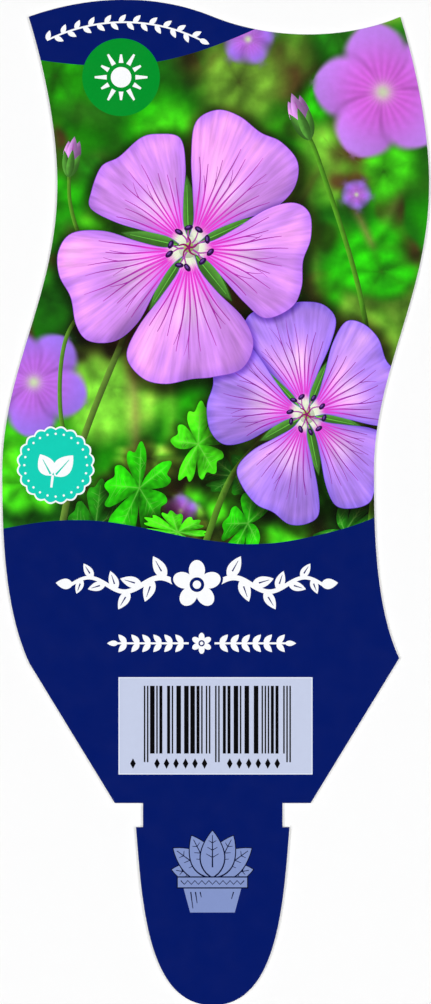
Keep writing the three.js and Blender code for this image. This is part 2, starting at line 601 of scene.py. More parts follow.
class Petal(Form):
    """A petal with its own frame: along its length from the root, and across it, as shares of its length."""

    def __init__(self, bloom, way, length, width, draw):
        axes = turned(np.diag([length, length * width]), way) @ bloom.axes
        super().__init__(bloom.place(0.05 * unit(way)), axes)
        self.bloom = bloom
        self.seed = int(draw.integers(1 << 30))
        skew = draw.uniform(-0.05, 0.05)
        knots = np.vstack([PETAL_SIDE, PETAL_NOTCH, (np.array(PETAL_SIDE) * (1, -1))[::-1]])
        knots[:, 1] += skew * knots[:, 0] ** 2
        knots[3:-3] += draw.normal(0, 0.012, (len(knots) - 6, 2))
        self.outline = anticlockwise(self.place(spline(knots, 7, closed=True)))

    def tones(self, places):
        """The petal's broad colours, from its lighter inner part to its darker rim, with a painted highlight
        along its middle.
        """
        tones = self.bloom.tones
        reach, angle = self.polar(places)
        colours = mix(tones["inner"], tones["outer"], smooth(0.28, 0.80, reach))
        depth = inside_depth(places, self.outline) / self.bloom.size
        colours = mix(colours, tones["rim"], 0.75 * smooth(0.10, 0.0, depth))
        # Painted highlight: a paler band along the petal's middle, between its throat and its rim.
        sheen = smooth(0.16, 0.34, reach) * smooth(0.66, 0.40, reach) * smooth(0.42, 0.05, np.abs(angle))
        return mix(colours, PETAL_SHEEN, 0.55 * sheen)

    def relief(self, places):
        """Light and shade on the petal's folds, its ruffled rim and the cup that it is part of."""
        reach, angle = self.polar(places)
        local = self.local(places)
        folds = waves(np.column_stack([angle * 7, reach * 1.2]), 2.2, self.seed, 6)
        swell = waves(local, 0.9, self.seed + 1, 5)
        ruffle = waves(np.column_stack([angle * 5, reach]), 0.5, self.seed + 2, 5) * smooth(0.60, 1.0, reach)
        cup = (local * (0, 1)) @ self.axes @ LIGHT_WAY / self.bloom.size
        return (1 + 0.055 * folds + 0.06 * swell + 0.06 * ruffle) * (1 + 0.16 * np.tanh(cup * 2.2))

    def ink(self, places):
        reach, angle = self.polar(places)
        colours = self.tones(places) * self.relief(places)[:, None]
        streak = 0.5 + 0.5 * np.cos(angle / vein_angle(1, reach) * tau)
        flush = smooth(0.52, 0.10, reach) * (0.35 + 0.65 * streak**2)
        colours = mix(colours, self.bloom.tones["flush"], 0.80 * flush)
        colours = mix(colours, THROAT, smooth(0.17, 0.06, reach))
        return np.clip(under_shadows(places, colours, self.casters, PETAL_SHADOW), 0, 1)

    def grain(self, places):
        reach, angle = self.polar(places)
        return np.column_stack([angle * 26 + self.seed % 97, reach * 3.0, np.full(len(places), 1.0)])

    def veins(self):
        """Each vein's path and the widths along it, with its forks."""
        draw = np.random.default_rng(self.seed)
        for number in range(-VEINS_EACH_SIDE, VEINS_EACH_SIDE + 1):
            reach = np.linspace(0.09, draw.uniform(0.74, 0.88) - 0.045 * abs(number), 11)
            angle = vein_angle(number + draw.uniform(-0.15, 0.15), reach)
            angle += 0.015 * np.sin(reach * 9 + draw.uniform(0, tau))
            thick = np.interp(reach / reach[-1], (0, 0.3, 1), VEIN_WIDTHS) * draw.uniform(0.8, 1.1)
            yield reach[:, None] * unit(angle), thick
            if abs(number) < VEINS_EACH_SIDE and draw.random() < 0.6:
                fork = draw.integers(5, 8)
                bend = np.linspace(0, 1, 6)
                away = angle[fork] + draw.choice((-1, 1)) * draw.uniform(0.05, 0.09) * bend**1.3
                branch = reach[fork] + bend * draw.uniform(0.14, 0.22)
                yield branch[:, None] * unit(away), np.multiply((0.8, 0.3), thick[fork])

    def vein_ink(self, places):
        reach, _ = self.polar(places)
        tones = self.bloom.tones
        line = mix(tones["flush"], tones["vein"], smooth(0.22, 0.50, reach))
        return mix(self.ink(places), line * 0.92, 0.95 * smooth(1.0, 0.60, reach) * smooth(0.08, 0.16, reach))

    def shapes(self):
        yield solid(self.outline, np.multiply(self.bloom.tones["rim"], (0.78, 0.70, 0.88)))
        yield Shape(shrunk(self.outline, PETAL_EDGE), self.ink, self.grain, FINE_PITCH)
        for path, thick in self.veins():
            yield Shape(self.place(ribbon(path, thick)), self.vein_ink, self.grain)


class Bloom(Form):
    """An open five-petalled bloom, tilted a little away from the view."""

    def __init__(self, centre, size, turn, tilt, lean, tones, seed):
        super().__init__(centre, size * tilted(tilt, lean))
        draw = np.random.default_rng(seed)
        self.size, self.turn, self.tones = size, turn, tones
        self.petals = []
        for way in around(5, turn):
            way += draw.uniform(-0.06, 0.06)
            self.petals.append(Petal(self, way, draw.uniform(0.93, 1.03), draw.uniform(0.98, 1.12), draw))
        self.outlines = [petal.outline for petal in self.petals]
        self.stand_behind([])

    def stand_behind(self, outlines):
        """Takes the shadows of what lies in front, and of each petal on those below it."""
        for number, petal in enumerate(self.petals):
            petal.casters = self.outlines[number + 1 :] + outlines

    def sepals(self):
        for way in unit(around(5, self.turn + pi / 5)):
            middle = self.place(np.linspace(0.04, 0.54, 9)[:, None] * way)
            yield solid(self.place(blade(0.04 * way, 0.58 * way, 0.15)), np.multiply(SEPAL, 0.55))
            green = side_lit_ink(middle, 0.07 * self.size, SEPAL)
            yield Shape(self.place(blade(0.04 * way, 0.56 * way, 0.125)), green, leaf_grain)
            rib = self.place(np.linspace(0.10, 0.50, 5)[:, None] * way)
            yield solid(ribbon(rib, (0.16, 0.06)), np.multiply(SEPAL, 1.35))

    def dome(self, radius, colour):
        ink = lit_dome_ink(self.origin, radius * self.size, colour)
        return Shape(self.place(ellipse((0, 0), radius, steps=36)), ink, no_grain)

    def stamens(self):
        draw = np.random.default_rng(int(self.size * 100))
        for way in around(10, self.turn):
            way += draw.uniform(-0.12, 0.12)
            reach = draw.uniform(*STAMEN_REACH)
            bow = reach * 0.5 * unit(way + draw.uniform(-0.4, 0.4))
            path = spline([0.02 * unit(way), bow, reach * unit(way)], 5)
            yield solid(self.place(ribbon(path, FILAMENT_WIDTHS)), FILAMENT)
            tip = self.place(reach * unit(way))
            spin = draw.uniform(0, pi)
            yield solid(ellipse(tip, np.multiply(ANTHER_RADII, self.size), spin, 16), ANTHER)
            # A painted highlight on each anther, shifted towards the light.
            glint = tip + 0.006 * self.size * LIGHT_WAY
            yield solid(ellipse(glint, np.multiply(GLINT_RADII, self.size), spin, 12), ANTHER_GLINT)

    def style(self):
        for way in around(5, self.turn + 0.3):
            path = spline([(0, 0), 0.045 * unit(way), 0.085 * unit(way + 0.35)], 5)
            yield solid(self.place(ribbon(path, (0.020, 0.011))), STIGMA)

    def shapes(self):
        yield from self.sepals()
        for petal in self.petals:
            yield from petal.shapes()
        yield self.dome(THROAT_RADIUS, THROAT)
        yield from self.stamens()
        yield self.dome(HEART_RADIUS, HEART)
        yield from self.style()


# A bud's furled petals as (shift aside, reach, share of its width, tone), and its calyx as (shift, reach).
FURLED_PETALS = [(0.30, 0.86, 0.62, 1.0), (-0.30, 0.90, 0.60, 0.78), (0.02, 1.0, 0.66, 0.92)]
CALYX = [(0.50, 0.60), (-0.50, 0.56), (0.0, 0.66)]


def stem(knots, width, colour, casters):
    path = spline(knots, 10)
    ink = shaded(side_lit_ink(path, width / 2, colour), casters)
    return Shape(ribbon(path, (width, 0.8 * width)), ink, leaf_grain)


def bud(root, tip, width, tones):
    """A closed bud: pink petals furled in a green calyx."""
    root, tip = np.array(root, float), np.array(tip, float)
    axis = tip - root
    side = width * left_of(unit_length(axis))
    for shift, reach, share, tone in FURLED_PETALS:
        start, end = root + 0.2 * axis + 0.5 * shift * side, root + reach * axis + 1.1 * shift * side
        middle = np.linspace(start, end, 9)
        lit = side_lit_ink(middle, share * width / 2, np.multiply(tones["inner"], tone))
        yield Shape(blade(start, end, share * width), lit, leaf_grain)
        yield solid(ribbon(middle[2:7], (0.08, 0.16, 0.16, 0.12, 0.05)), tones["vein"])
    for shift, reach in CALYX:
        start, end = root - 0.08 * axis + 0.1 * shift * side, root + reach * axis + shift * side
        middle = np.linspace(start, end, 9)
        yield Shape(blade(start, end, width * 0.48), side_lit_ink(middle, width * 0.22, SEPAL), leaf_grain)


# ---- the picture ----

# Near leaves as (centre, size, tilt, ink), from the back to the front. The leaves further back have darker
# inks, as painted shade deeper in the plant.
NEAR_LEAVES_SEED = 12
NEAR_LEAVES = [
    ((-20.5, -4.0), 8.0, 0.60, DEEP_GREEN),
    ((3.5, 4.5), 7.0, 0.55, DEEP_GREEN),
    ((22.0, -5.0), 8.0, 0.60, DEEP_GREEN),
    ((29.5, 1.5), 7.5, 0.55, LEAF_GREEN),
    ((5.5, -3.5), 7.5, 0.50, LEAF_GREEN),
    ((-13.0, 2.5), 9.0, 0.62, LEAF_GREEN),
    ((-3.0, 10.0), 7.5, 0.66, FRESH_GREEN),
    ((-6.5, -5.0), 6.0, 0.55, FRESH_GREEN),
]
# Stems as (knots, width, ink).
STEMS = [
    ([(-2.5, -9), (2.5, 4), (9, 12), (13, 18)], 1.15, (0.36, 0.56, 0.16)),
    ([(26, -8), (27.5, 14), (24.5, 36), (18.0, 57), (15.6, 63)], 0.95, (0.34, 0.62, 0.14)),
    ([(-24.2, 5.5), (-26.5, 16), (-25.5, 28), (-20.0, 36)], 0.80, (0.38, 0.60, 0.17)),
    ([(-27, -8), (-23.5, 8), (-17, 25), (-9, 43)], 1.20, (0.40, 0.55, 0.20)),
    ([(-19, 38), (-23.0, 45), (-24.8, 51), (-25.0, 56.5)], 0.75, (0.36, 0.60, 0.16)),
]
# Buds as (root, tip, width).
BUDS = [((15.8, 62.4), (13.0, 69.8), 3.4), ((-25.0, 56.0), (-24.0, 62.4), 2.8)]
# Near blooms as (centre, size, turn, tilt, lean, tones, seed).
BACK_BLOOM = ((15.5, 15.0), 18.5, radians(100), 0.86, radians(20), LILAC_BLOOM, 5)
FRONT_BLOOM = ((-4.6, 43.5), 22.0, radians(58), 0.92, radians(-35), PINK_BLOOM, 8)


def near_leaves(petals):
    """The crisp leaves, each in the shadows of the petals and of the leaves in front of it."""
    draw = np.random.default_rng(NEAR_LEAVES_SEED)
    leaves = [Leaf(*row, draw) for row in NEAR_LEAVES]
    for number, leaf in enumerate(leaves):
        leaf.casters = petals + [other.outline for other in leaves[number + 1 :]]
    return leaves


def picture_shapes(area):
    """The picture, over a whole area that the plain bands then cover at its top and its base."""
    back, front = Bloom(*BACK_BLOOM), Bloom(*FRONT_BLOOM)
    back.stand_behind(front.outlines)
    petals = back.outlines + front.outlines
    leaves = near_leaves(petals)
    ground_ink = shaded(paint_ground, petals + [leaf.outline for leaf in leaves])
    yield Shape(area, ground_ink, leaf_grain, COARSE_PITCH)
    for centre, size, turn, *_ in FAR_BLOOMS:
        yield Shape(ellipse(centre, 1.06 * size, turn), ground_ink, soft_grain, FINE_PITCH)
    for leaf in leaves:
        yield from leaf.shapes()
    for row in STEMS:
        yield stem(*row, petals)
    for row in BUDS:
        yield from bud(*row, PINK_BLOOM)
    yield from back.shapes()
    yield from front.shapes()


# ---- bands, badges and ornaments ----

# The waving borders of the plain bands, above the picture and below it, and places beyond the sheet.
TOP_BORDER = [
    (-34, 76.2), (-29.8, 75.42), (-26.7, 75.0), (-22.7, 74.62), (-16.3, 74.45), (-9.8, 75.2),
    (-5.1, 76.3), (-0.95, 77.6), (2.7, 79.0), (6.7, 80.7), (9.5, 82.0),
]
BASE_BORDER = [
    (-40, -5.4), (-36.4, -4.5), (-29.6, -3.35), (-23.6, -3.0), (-17.7, -3.4), (-10.8, -4.65),
    (-4.0, -6.05), (2.8, -6.95), (6.2, -7.1), (11.3, -6.75), (18.2, -5.4), (25.0, -3.4), (33, 0.1),
]
BEYOND_X, BEYOND_Y = 44, 96

SUN_BADGE = np.array((-16.13, 72.51))
SUN_BADGE_RADIUS = 6.62
SUN_RADIUS = 1.75
SUN_RAYS = 12
SUN_RAY_START = 2.45
SUN_RAY_ENDS = (4.5, 3.9)

SPROUT_BADGE = np.array((-27.28, 6.37))
SPROUT_BADGE_RADIUS = 6.70
SPROUT_BADGE_RIM = 0.30
DOTS = 24
DOT_RADIUS = 0.20
DOT_RING_RADIUS = SPROUT_BADGE_RADIUS - 1.35
SPROUT_FOOT = SPROUT_BADGE + (-0.5, -2.2)
# Leaves of the sprout as (way, reach, width).
SPROUT_LEAVES = [(radians(118), 4.6, 2.9), (radians(48), 5.2, 3.1)]

# A spray is a flower between two leafy stems, which stands where words would. start is how far from the
# centre a stem starts, short how far from the spray's side it stops, and wave how high it waves. stem gives
# its widths, stations the shares of it where leaves grow, leaves the first and the last leaf's size, and tip
# the blade at its end, as two places from there and a width.
Spray = namedtuple(
    "Spray", "centre width height start short wave steps stem stations leaves pairs tip petals"
)
TITLE_GARLAND = Spray(
    centre=(-3.2, -14.0), width=47.7, height=8.4, start=3.2, short=2.4, wave=1.2, steps=60, stem=(1.0, 0.55),
    stations=np.linspace(0.13, 0.93, 8), leaves=(4.3, 2.7), pairs=False, tip=((-0.3, 0), (2.6, 0.3), 1.8),
    petals=5,
)
SUBTITLE_SPRIGS = Spray(
    centre=(-2.4, -24.0), width=31.2, height=3.6, start=2.2, short=1.2, wave=0.0, steps=40, stem=0.34,
    stations=np.linspace(0.08, 0.90, 6), leaves=(2.0, 2.0), pairs=True, tip=((-0.2, 0), (1.7, 0), 0.95),
    petals=6,
)
LEAF_SPREAD = radians(48)
SMALLEST_SLIT_LEAF = 2.4
ARC_CENTRE = np.array((-15.6, 52.3))
ARC_RADIUS = 29.6
ARC_HALF_SPREAD = radians(26.4)
ARC_STEM_WIDTH = 0.30
ARC_LEAF_SIZES = (1.75, 1.75)
ARC_STATIONS = np.linspace(0.01, 0.95, 21)

PANEL = np.array(((-16.57, -46.37), (16.51, -29.78)))
PANEL_RIM_WIDTH = 0.17
# A module is the width of the narrowest bar. Other bars and the gaps are whole numbers of modules.
MODULE = 0.264
BARS_LEFT = -12.25
BARS_TOP = -31.24
BARS_BOTTOM = -42.80
LONG_BARS = (0, 2, 46, 48, 92, 94)
LONG_BARS_BOTTOM = -44.27
BAR_GROUPS = ((4, 44), (51, 91))
BARS_SEED = 2
DIAMONDS = (-14.1, *np.linspace(-10.0, -1.9, 6), *np.linspace(2.4, 10.5, 6))
DIAMONDS_LEVEL = -44.5
DIAMOND_RADII = (0.48, 0.90)

EMBLEM = np.array((-0.55, -63.2))
# Leaves of the emblem as (lean from upright, reach, width), from the back to the front.
EMBLEM_LEAVES = [(radians(80), 7.0, 3.9), (radians(54), 8.2, 4.3), (radians(27), 7.8, 4.2), (0, 7.8, 4.0)]
POT = [(-3.8, -6.7), (3.8, -6.7), (5.1, -1.9), (-5.1, -1.9)]
POT_RIM = ((-5.9, -2.4), (5.9, -0.75))
# Shading strokes on the pot as (place across, lower end).
POT_STROKES = [(-3.7, -6.0), (-2.9, -5.1), (-2.1, -4.1), (3.6, -4.4)]
POT_STROKES_TOP = -3.2


def plain_bands():
    """The plain ink above the picture and below it, each with a waving border."""
    for border, far in ((TOP_BORDER, BEYOND_Y), (BASE_BORDER, -BEYOND_Y)):
        rest = [(border[-1][0], far), (-BEYOND_X, far), (-BEYOND_X, border[0][1])]
        yield solid(np.vstack([spline(border, 6), rest]), NAVY)


def sun_badge():
    yield solid(ellipse(SUN_BADGE, SUN_BADGE_RADIUS, steps=96), BADGE_GREEN)
    yield solid(ellipse(SUN_BADGE, SUN_RADIUS), WHITE)
    for number, way in enumerate(unit(around(SUN_RAYS))):
        start, end = SUN_BADGE + np.outer((SUN_RAY_START, SUN_RAY_ENDS[number % 2]), way)
        yield stroke(start, end, (0.80, 0.34), WHITE)


def sprout_badge():
    """A scalloped badge, with a ring of dots about a sprout of two leaves."""
    yield solid(scalloped(SPROUT_BADGE, SPROUT_BADGE_RADIUS), WHITE)
    yield solid(scalloped(SPROUT_BADGE, SPROUT_BADGE_RADIUS - SPROUT_BADGE_RIM), BADGE_TEAL)
    for way in unit(around(DOTS)):
        yield solid(ellipse(SPROUT_BADGE + DOT_RING_RADIUS * way, DOT_RADIUS, steps=12), WHITE)
    for angle, reach, width in SPROUT_LEAVES:
        way = unit(angle)
        tip = SPROUT_FOOT + reach * way
        yield solid(blade(SPROUT_FOOT + 0.5 * way, tip, width), WHITE)
        yield stroke(SPROUT_FOOT + 0.8 * way, tip - 1.0 * way, (0.34, 0.10), BADGE_TEAL)
    yield stroke(SPROUT_FOOT + (-0.25, -1.6), SPROUT_FOOT + (0, 0.5), (0.38, 0.44), WHITE)


def flower_mark(at, radius, petals):
    """A white flower that stands clear of what is behind it."""
    width = 0.56 * sin(pi / petals)
    for margin, ink in ((0.10, NAVY), (0.0, WHITE)):
        for way in around(petals, pi / 2):
            radii = ((0.42 + margin) * radius, (width + margin) * radius)
            yield solid(ellipse(at + 0.58 * radius * unit(way), radii, way, 24), ink)
    yield solid(ellipse(at, 0.30 * radius, steps=24), NAVY)
    yield solid(ellipse(at, 0.17 * radius, steps=16), WHITE)


def vine(path, widths, stations, leaves, first=1, pairs=False):
    """A white stem with leaves at stations along it, in pairs or on one side and the other by turns."""
    yield solid(ribbon(path, widths), WHITE)
    for number, size in enumerate(np.linspace(*leaves, len(stations))):
        step = int(stations[number] * (len(path) - 2))
        root = path[step]
        ahead, aside = path[step + 1] - root
        sides = (1, -1) if pairs else (first * (-1) ** number,)
        for side in sides:
            way = unit(np.arctan2(aside, ahead) + side * LEAF_SPREAD)
            yield solid(blade(root, root + size * way, 0.5 * size), WHITE)
            if size > SMALLEST_SLIT_LEAF:
                yield stroke(root + 0.32 * size * way, root + 0.80 * size * way, (0.26, 0.08), NAVY)


def spray(form):
    """A white flower between two leafy stems."""
    at = np.array(form.centre)
    for side in (-1, 1):
        across = np.linspace(form.start, form.width / 2 - form.short, form.steps)
        up = form.wave * np.sin(np.linspace(0, 3 * pi, form.steps))
        path = at + np.stack([side * across, up], 1)
        yield from vine(path, form.stem, form.stations, form.leaves, side, form.pairs)
        *ends, width = form.tip
        root, tip = path[-1] + np.multiply(ends, (side, 1))
        yield solid(blade(root, tip, width), WHITE)
    yield from flower_mark(at, form.height / 2, form.petals)


def curved_vine():
    """A small vine that follows the hump of the top edge."""
    angles = pi / 2 + np.linspace(ARC_HALF_SPREAD, -ARC_HALF_SPREAD, 80)
    path = ARC_CENTRE + ARC_RADIUS * unit(angles)
    yield from vine(path, ARC_STEM_WIDTH, ARC_STATIONS, ARC_LEAF_SIZES)
    yield solid(blade(path[-2], path[-1] + 1.5 * unit(angles[-1] - pi / 2), 0.9), WHITE)


def bar(start, modules, bottom):
    left = BARS_LEFT + start * MODULE
    return solid(box((left, bottom), (left + modules * MODULE, BARS_TOP)), BAR_BLACK)


def bar_panel():
    """A pale panel with made-up bars: a pair of long ones at both ends and in the middle."""
    yield solid(box(*PANEL), PANEL_RIM)
    yield solid(shrunk(box(*PANEL), PANEL_RIM_WIDTH), PANEL_BLUE)
    for start in LONG_BARS:
        yield bar(start, 1, LONG_BARS_BOTTOM)
    draw = np.random.default_rng(BARS_SEED)
    for start, last in BAR_GROUPS:
        while start < last:
            modules = min(int(draw.choice((1, 1, 2, 2, 3))), last - start)
            yield bar(start, modules, BARS_BOTTOM)
            start += modules + int(draw.choice((1, 1, 1, 2, 3)))
    for x in DIAMONDS:
        yield solid(ellipse((x, DIAMONDS_LEVEL), DIAMOND_RADII, steps=4), BAR_BLACK)


def emblem_leaf(foot, way, reach, width):
    tip = foot + reach * way
    yield solid(blade(foot - 0.3 * way, tip + 0.25 * way, width + 0.45, 14), EMBLEM_LINE)
    yield solid(blade(foot, tip, width, 14), EMBLEM_BLUE)
    yield stroke(foot + 1.6 * way, tip - 0.7 * way, (0.26, 0.12), EMBLEM_LINE)
    for share in (0.42, 0.58, 0.74):
        root = foot + share * reach * way
        out = 0.325 * width * (1.25 - share)
        for side in (-left_of(way), left_of(way)):
            yield stroke(root, root + out * (0.6 * way + side), (0.15, 0.09), EMBLEM_LINE)


def emblem():
    """A leafy plant in a pot, with dark drawn lines."""
    for lean, reach, width in EMBLEM_LEAVES:
        sides = (1, -1) if lean else (1,)
        for side in sides:
            yield from emblem_leaf(EMBLEM + (0, -0.6), unit(pi / 2 + side * lean), reach, width)
    rim = box(*(POT_RIM + EMBLEM))
    yield solid(EMBLEM + POT, EMBLEM_BLUE)
    yield solid(shrunk(rim, -0.22), EMBLEM_LINE)
    yield solid(rim, EMBLEM_BLUE)
    zigzag = EMBLEM + [(0.6 * step - 5.4, -1.25 - 0.65 * (step % 2)) for step in range(19)]
    yield solid(ribbon(zigzag, 0.17), EMBLEM_LINE)
    for x, bottom in POT_STROKES:
        yield stroke(EMBLEM + (x, POT_STROKES_TOP), EMBLEM + (0.9 * x, bottom), (0.22, 0.12), EMBLEM_LINE)


def printed_shapes(area):
    """Every printed shape, from the lowest to the topmost."""
    yield from picture_shapes(area)
    yield from plain_bands()
    yield from sun_badge()
    yield from sprout_badge()
    yield from curved_vine()
    yield from spray(TITLE_GARLAND)
    yield from spray(SUBTITLE_SPRIGS)
    yield from bar_panel()
    yield from emblem()


# ---- the sheet ----

EDGE_ROUNDING = 0.06
SHARP_ANGLE = radians(30)
TRIANGLES_INSIDE = 1
WELD = 1e-4
# Parts of the square map that the looks are baked on, as their left and right ends.
MAP_MARGIN = 0.01
FRONT_OF_MAP = (0.01, 0.87)
BACK_OF_MAP = (0.88, 0.98)
WALLS_OF_MAP = (0.985, 0.995)

# The cut front: its places, its triangles with the topmost shape on each, and its border, as a ring of
# places with the shape inside each edge.
Front = namedtuple("Front", "places triangles topmost ring ring_shapes")


def border_ring(edges):
    """The ring of the edges that have no twin the other way round, as the ends that they start from."""
    following = {a: b for a, b in edges if (b, a) not in edges}
    ring = [next(iter(following))]
    while following[ring[-1]] != ring[0]:
        ring.append(following[ring[-1]])
    return ring


def cad_outline():
    """The CAD sheet's outline, anticlockwise, from the border of its top face."""
    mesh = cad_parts[NODE].data
    edges = {}
    for face in mesh.polygons:
        if face.normal.z > 0.9:
            ends = [mesh.vertices[number].co[:2] for number in face.vertices]
            spots = [tuple(round(value / MM, 3) for value in end) for end in ends]
            edges.update(dict.fromkeys(zip(spots, spots[1:] + spots[:1])))
    return anticlockwise(np.array(border_ring(edges)))


def mixing_points(shapes):
    """Points inside the shapes whose ink changes from place to place, as close as each shape asks."""
    points = np.empty((0, 2))
    for shape in shapes:
        low, high = shape.outline.min(0), shape.outline.max(0)
        near = np.flatnonzero(np.all((points > low) & (points < high), 1))
        covered = near[inside_depth(points[near], shape.outline) > 0]
        points = np.delete(points, covered, 0)
        if shape.pitch:
            grid = hexagonal_points(low, high, shape.pitch)
            points = np.vstack([points, grid[inside_depth(grid, shape.outline) > shape.pitch / 2]])
    return points


def cut_front(shapes):
    """Cuts the front along every outline. The first shape is the whole front, which the others are cut to."""
    points, rings = [], []
    for shape in shapes:
        rings.append(list(range(len(points), len(points) + len(shape.outline))))
        points.extend(anticlockwise(shape.outline))
    points.extend(mixing_points(shapes))
    places, _, triangles, _, _, sources = delaunay_2d_cdt(
        [Vector(point) for point in points], [], rings, TRIANGLES_INSIDE, WELD
    )
    kept = [(triangle, max(above)) for triangle, above in zip(triangles, sources) if 0 in above]
    used, corners = np.unique([triangle for triangle, _ in kept], return_inverse=True)
    triangles, topmost = corners.reshape(-1, 3), [shape for _, shape in kept]
    edges = {}
    for (a, b, c), shape in zip(triangles.tolist(), topmost):
        edges.update({(a, b): shape, (b, c): shape, (c, a): shape})
    ring = border_ring(edges)
    ring_shapes = [edges[ends] for ends in zip(ring, ring[1:] + ring[:1])]
    places = np.array([tuple(place) for place in places])[used]
    return Front(places, triangles, np.array(topmost), np.array(ring), np.array(ring_shapes))


def onto(places, inner, outer):
    """Carries places on one ring of points to the same spots on another."""
    share, away = to_edges(places, inner)
    nearest = away.argmin(1)
    share = share[np.arange(len(places)), nearest][:, None]
    return outer[nearest] * (1 - share) + np.roll(outer, -1, 0)[nearest] * share


def closed_sheet(front, rim):
    """The front, an edge of three bands that is rounded at its top and its bottom, and the back."""
    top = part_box(NODE)[1].z / MM
    inner = front.places[front.ring]
    levels = [(front.places, top), (rim, top - EDGE_ROUNDING), (rim, EDGE_ROUNDING), (inner, 0)]
    vertices = np.vstack([np.column_stack([flat, np.full(len(flat), height)]) for flat, height in levels])
    first_free, size = len(front.places), len(inner)
    rings = [front.ring] + [first_free + level * size + np.arange(size) for level in range(3)]
    faces = front.triangles.tolist()
    for high, low in zip(rings, rings[1:]):
        faces += np.column_stack([low, np.roll(low, -1), np.roll(high, -1), high]).tolist()
    faces.append(rings[-1][::-1].tolist())
    mesh = bpy.data.meshes.new("printed_label")
    mesh.from_pydata((vertices * MM).tolist(), [], faces)
    return mesh


def linear(colours):
    return np.where(colours <= 0.04045, colours / 12.92, ((colours + 0.055) / 1.055) ** 2.4)


def print_inks(mesh, front, shapes):
    """Sets the ink and the grain at each corner of the front and of the band below it. The rest is white."""
    following = np.roll(front.ring, -1)
    band = np.column_stack([front.ring, following, following, front.ring])
    corner_place = np.concatenate([front.triangles.ravel(), band.ravel()])
    corner_shape = np.concatenate([np.repeat(front.topmost, 3), np.repeat(front.ring_shapes, 4)])
    inks = np.tile([*linear(np.array(WHITE)), 1.0], (len(mesh.loops), 1))
    grains = np.zeros((len(mesh.loops), 3))
    for number in np.unique(corner_shape):
        mine = np.flatnonzero(corner_shape == number)
        spots, again = np.unique(corner_place[mine], return_inverse=True)
        inks[mine, :3] = linear(shapes[number].ink(front.places[spots]))[again]
        grains[mine] = shapes[number].grain(front.places[spots])[again]
    mesh.attributes.new("ink", "FLOAT_COLOR", "CORNER").data.foreach_set("color", inks.ravel())
    mesh.attributes.new("grain", "FLOAT_VECTOR", "CORNER").data.foreach_set("vector", grains.ravel())


def in_map(flat, part):
    """Fits places from 0 to 1 into one part of the map."""
    left, right = part
    return np.array((left, MAP_MARGIN)) + flat * (right - left, 1 - 2 * MAP_MARGIN)


def add_map(mesh, outline, size):
    """Lays the front out over most of the map, with the back beside it and the cut edge as a strip."""
    low, high = outline.min(0) * MM, outline.max(0) * MM
    vertex = np.empty(len(mesh.loops), int)
    mesh.loops.foreach_get("vertex_index", vertex)
    place = np.empty(len(mesh.vertices) * 3)
    mesh.vertices.foreach_get("co", place)
    flat = (place.reshape(-1, 3)[vertex, :2] - low) / (high - low)
    spots = in_map(flat, FRONT_OF_MAP)
    back = len(spots) - size
    spots[back:] = in_map(flat[back:], BACK_OF_MAP)
    along = (np.arange(size)[:, None] + (0, 1, 1, 0)).ravel() / size
    for first, (upper, lower) in ((back - 8 * size, (0, 0.5)), (back - 4 * size, (0.5, 1))):
        across = np.tile((lower, lower, upper, upper), size)
        spots[first : first + 4 * size] = in_map(np.column_stack([across, along]), WALLS_OF_MAP)
    mesh.uv_layers.new(name="OFBake").data.foreach_set("uv", spots.ravel())


def add_object(name, data):
    """Puts a mesh, a light or a camera into the scene."""
    thing = bpy.data.objects.new(name, data)
    bpy.context.scene.collection.objects.link(thing)
    return thing


def label():
    """The whole label as one closed sheet, with its inks and grain on the corners of its front."""
    outline = cad_outline()
    inner = shrunk(outline, EDGE_ROUNDING)
    shapes = list(printed_shapes(inner))
    front = cut_front(shapes)
    mesh = closed_sheet(front, onto(front.places[front.ring], inner, outline))
    print_inks(mesh, front, shapes)
    add_map(mesh, outline, len(front.ring))
    mesh.materials.append(printed_front())
    mesh.materials.append(white_plastic())
    bare = np.arange(len(mesh.polygons)) >= len(front.triangles) + len(front.ring)
    mesh.polygons.foreach_set("material_index", bare.astype(int))
    mesh.shade_smooth()
    mesh.set_sharp_from_angle(angle=SHARP_ANGLE)
    return add_object("printed_label", mesh)


# ---- materials ----

# A noise stays between about these two values.
NOISE_RANGE = (0.3, 0.7)
# How fine each noise is: about how many of its waves fit in a metre.
GLOSS_SCALE = 260
MOTTLE_SCALE = 900
CLOUD_SCALE = 120
FLOOR_SCALE = 3
VARNISH_RELIEF_SCALE = 350
PLASTIC_RELIEF_SCALE = 2500
THREADS = (-0.16, 0.16)
VARNISH_ROUGHNESS = (0.19, 0.25)
PLASTIC_ROUGHNESS = (0.42, 0.55)
PLASTIC_WHITE = (0.86, 0.87, 0.86)
RELIEF_HEIGHT = 0.00001
FLOOR_TONES = (0.95, 0.36)


